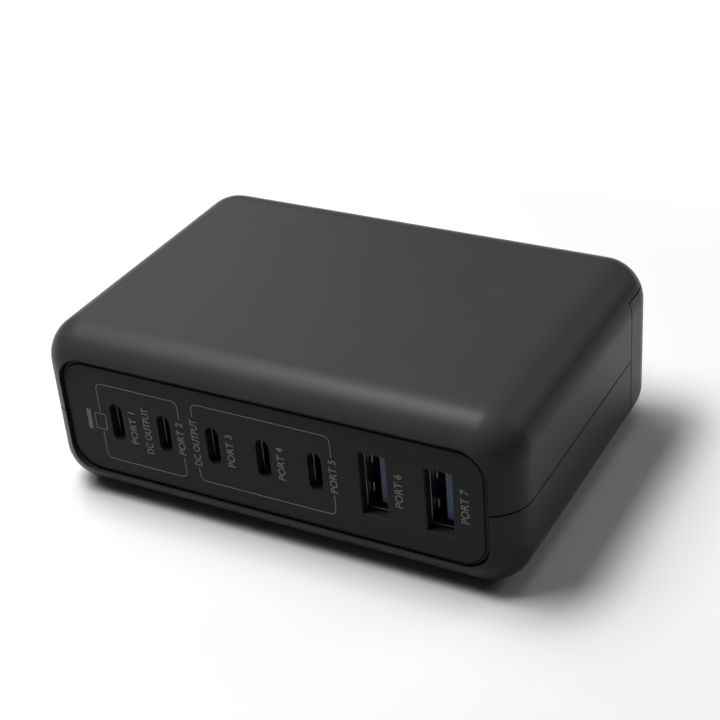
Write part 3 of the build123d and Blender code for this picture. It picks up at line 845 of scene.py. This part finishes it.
def finish_piece(name: str, mesh: bmesh.types.BMesh) -> bpy.types.Object:
    """Turns a finished bmesh into an object at the origin.

    Args:
        name: The piece's name.
        mesh: Its shape, in place in metres.

    Returns:
        The new object.
    """
    data = bpy.data.meshes.new(name)
    mesh.to_mesh(data)
    mesh.free()
    piece = bpy.data.objects.new(name, data)
    bpy.context.scene.collection.objects.link(piece)
    return piece


# Studio


@dataclass(frozen=True)
class SoftBox:
    """A soft lamp that looks at the charger.

    Attributes:
        name: The lamp's name.
        direction: Where it stands, as seen from the charger.
        distance: How far off, in metres.
        size: Its width and height, in metres.
        power: Its power, in watts.
    """

    name: str
    direction: tuple[float, float, float]
    distance: float
    size: tuple[float, float]
    power: float

    def build(self) -> None:
        """Hangs the lamp."""
        data = bpy.data.lights.new(self.name, "AREA")
        data.shape = "RECTANGLE"
        data.size, data.size_y = self.size
        data.energy = self.power
        lamp = bpy.data.objects.new(self.name, data)
        towards = Vector(self.direction).normalized()
        lamp.location = towards * self.distance
        lamp.rotation_euler = (-towards).to_track_quat("-Z", "Y").to_euler()
        lamp.visible_camera = False
        bpy.context.scene.collection.objects.link(lamp)


@dataclass
class Studio:
    """The floor, the dim surroundings and the lamps.

    Attributes:
        floor_size: The floor's radius, in metres.
        floor_sides: The number of the floor's sides.
        floor_colour: The floor as it is seen.
        bounce_colour: The floor as it lights the charger.
        fade: Where the floor starts and ends to turn to plain white, in metres from the charger.
        fade_shape: How each direction counts in that distance, as the charger is wider than deep.
        ambient: The strength of the surroundings.
        lamps: The soft lamps.
    """

    floor_size: float = 3.0
    floor_sides: int = 64
    floor_colour: Colour = (0.9, 0.9, 0.9)
    bounce_colour: Colour = (0.3, 0.3, 0.3)
    fade: tuple[float, float] = (0.085, 0.14)
    fade_shape: tuple[float, float, float] = (0.75, 1.0, 1.0)
    ambient: float = 0.02
    lamps: tuple[SoftBox, ...] = (
        SoftBox("left_front_lamp", (-0.464, -0.187, 0.866), 0.8, (0.35, 0.35), 1.94),
        SoftBox("left_back_lamp", (-0.46, 0.195, 0.866), 0.8, (0.35, 0.35), 1.52),
        SoftBox("top_lamp", (-0.242, 0.0, 0.97), 0.412, (0.12, 0.12), 0.69),
        SoftBox("front_top_lamp", (-0.236, -0.236, 0.943), 0.424, (0.12, 0.12), 0.39),
        SoftBox("right_top_lamp", (0.242, 0.08, 0.967), 0.414, (0.12, 0.12), 0.1),
        SoftBox("back_right_lamp", (0.612, 0.612, 0.5), 0.8, (0.35, 0.35), 0.69),
        SoftBox("back_left_lamp", (-0.612, 0.612, 0.5), 0.8, (0.35, 0.35), 0.32),
    )

    def build(self) -> list[str]:
        """Makes the floor, the surroundings and the lamps.

        Returns:
            The names of the lamps.
        """
        self.lay_floor()
        self.surround()
        for lamp in self.lamps:
            lamp.build()
        return [lamp.name for lamp in self.lamps]

    def seen(self, sheet: NodeSheet) -> bpy.types.NodeSocket:
        """A value that is 1 for rays that show a surface and 0 for rays that light others."""
        path = sheet.add("ShaderNodeLightPath").outputs
        either = sheet.add(
            "ShaderNodeMath", {0: path["Is Camera Ray"], 1: path["Is Glossy Ray"]}, operation="MAXIMUM"
        )
        every = sheet.add(
            "ShaderNodeMath", {0: either.outputs[0], 1: path["Is Transmission Ray"]}, operation="MAXIMUM"
        )
        return every.outputs[0]

    def lay_floor(self) -> None:
        """Lays the pale floor, which keeps the shadow and is plain white further off."""
        mesh = bmesh.new()
        bmesh.ops.create_circle(mesh, cap_ends=True, segments=self.floor_sides, radius=self.floor_size)
        floor = finish_piece("studio_floor", mesh)
        material = bpy.data.materials.new("studio_floor")
        material.use_nodes = True
        sheet = NodeSheet(material.node_tree)
        shader = material.node_tree.nodes["Principled BSDF"]
        shader.inputs["Roughness"].default_value = 1.0
        shader.inputs["Specular IOR Level"].default_value = 0.0
        seen = self.seen(sheet)
        point = sheet.add(
            "ShaderNodeVectorMath",
            {0: sheet.add("ShaderNodeTexCoord").outputs["Object"], 1: self.fade_shape},
            operation="MULTIPLY",
        )
        away = sheet.add("ShaderNodeVectorMath", {0: point.outputs["Vector"]}, operation="LENGTH")
        far = sheet.add(
            "ShaderNodeMapRange",
            {"Value": away.outputs["Value"], "From Min": self.fade[0], "From Max": self.fade[1]},
            interpolation_type="SMOOTHSTEP",
        )
        white = sheet.add("ShaderNodeMath", {0: seen, 1: far.outputs["Result"]}, operation="MULTIPLY")
        lit = sheet.mix(white.outputs[0], (*self.floor_colour, 1.0), BLACK)
        colour = sheet.mix(seen, (*self.bounce_colour, 1.0), lit)
        shader.inputs["Emission Color"].default_value = WHITE
        sheet.tree.links.new(colour, shader.inputs["Base Color"])
        sheet.tree.links.new(white.outputs[0], shader.inputs["Emission Strength"])
        floor.data.materials.append(material)

    def surround(self) -> None:
        """Makes the surroundings a dim even light."""
        world = bpy.data.worlds.new("studio_world")
        world.use_nodes = True
        bpy.context.scene.world = world
        background = world.node_tree.nodes["Background"]
        background.inputs["Color"].default_value = WHITE
        background.inputs["Strength"].default_value = self.ambient


@dataclass
class PhotoCamera:
    """The camera at the photograph's place.

    Attributes:
        azimuth: Round from the front, in degrees.
        elevation: Above the horizon, in degrees.
        roll: Turn about the line of sight, in degrees.
        distance: From the point that it looks at, in millimetres.
        lens: Focal length, in millimetres on the default sensor.
        target: The point that it looks at, in millimetres.
    """

    azimuth: float = 30.452
    elevation: float = 31.152
    roll: float = -4.863
    distance: float = 324.727
    lens: float = 80.8104
    target: tuple[float, float, float] = (1.862, -0.132, 21.003)

    def build(self) -> None:
        """Sets up the camera and makes it the scene's own."""
        data = bpy.data.cameras.new("photo_camera")
        data.lens = self.lens
        data.clip_start = 0.01
        camera = bpy.data.objects.new("photo_camera", data)
        azimuth, elevation = math.radians(self.azimuth), math.radians(self.elevation)
        level = math.cos(elevation)
        back = Vector((math.sin(azimuth) * level, -math.cos(azimuth) * level, math.sin(elevation)))
        right = Vector((math.cos(azimuth), math.sin(azimuth), 0.0))
        turn = Matrix((right, back.cross(right), back)).transposed().to_4x4()
        roll = Matrix.Rotation(math.radians(self.roll), 4, "Z")
        place = Vector(self.target) * MM + back * self.distance * MM
        camera.matrix_world = Matrix.Translation(place) @ turn @ roll
        bpy.context.scene.collection.objects.link(camera)
        bpy.context.scene.camera = camera


def main() -> None:
    """Builds and dresses the charger, then the studio around it."""
    logging.basicConfig(level=logging.INFO, format="%(message)s")
    rack = FinishRack(Effects(moulded_grain(), soft_edges(), drawn_streaks()), charger_finishes())
    groups = (
        CadGroup("housing", ("upper_housing", "lower_housing", "rear_cover", "foot_strip")),
        CadGroup("front panel", ("front_panel", "status_light")),
        CadGroup("sockets", ("usb_",)),
        CadGroup("mains inlet", ("power_inlet", "inlet_pins")),
        CadGroup("boards", ("main_board", "port_board", "board_", "insulating_sheet")),
        CadGroup(
            "power parts",
            ("fuse", "x_capacitor", "choke", "bridge", "pfc", "transformer", "power_transistors",
             "control_chips", "output_capacitors", "buck_inductors", "bulk_capacitor", "heat_spreader",
             "thermal_pads"),
        ),
    )
    for group in groups:
        for name in group.dress(rack):
            LOG.info("dressed %s: %s", group.title, name)
    for name in PanelLip().build(rack):
        LOG.info("fitted %s", name)
    for name in PanelPrint().build(rack):
        LOG.info("printed %s", name)
    for name in Studio().build():
        LOG.info("hung %s", name)
    PhotoCamera().build()
    bpy.context.scene.view_settings.view_transform = "Standard"


if __name__ == "__main__":
    main()
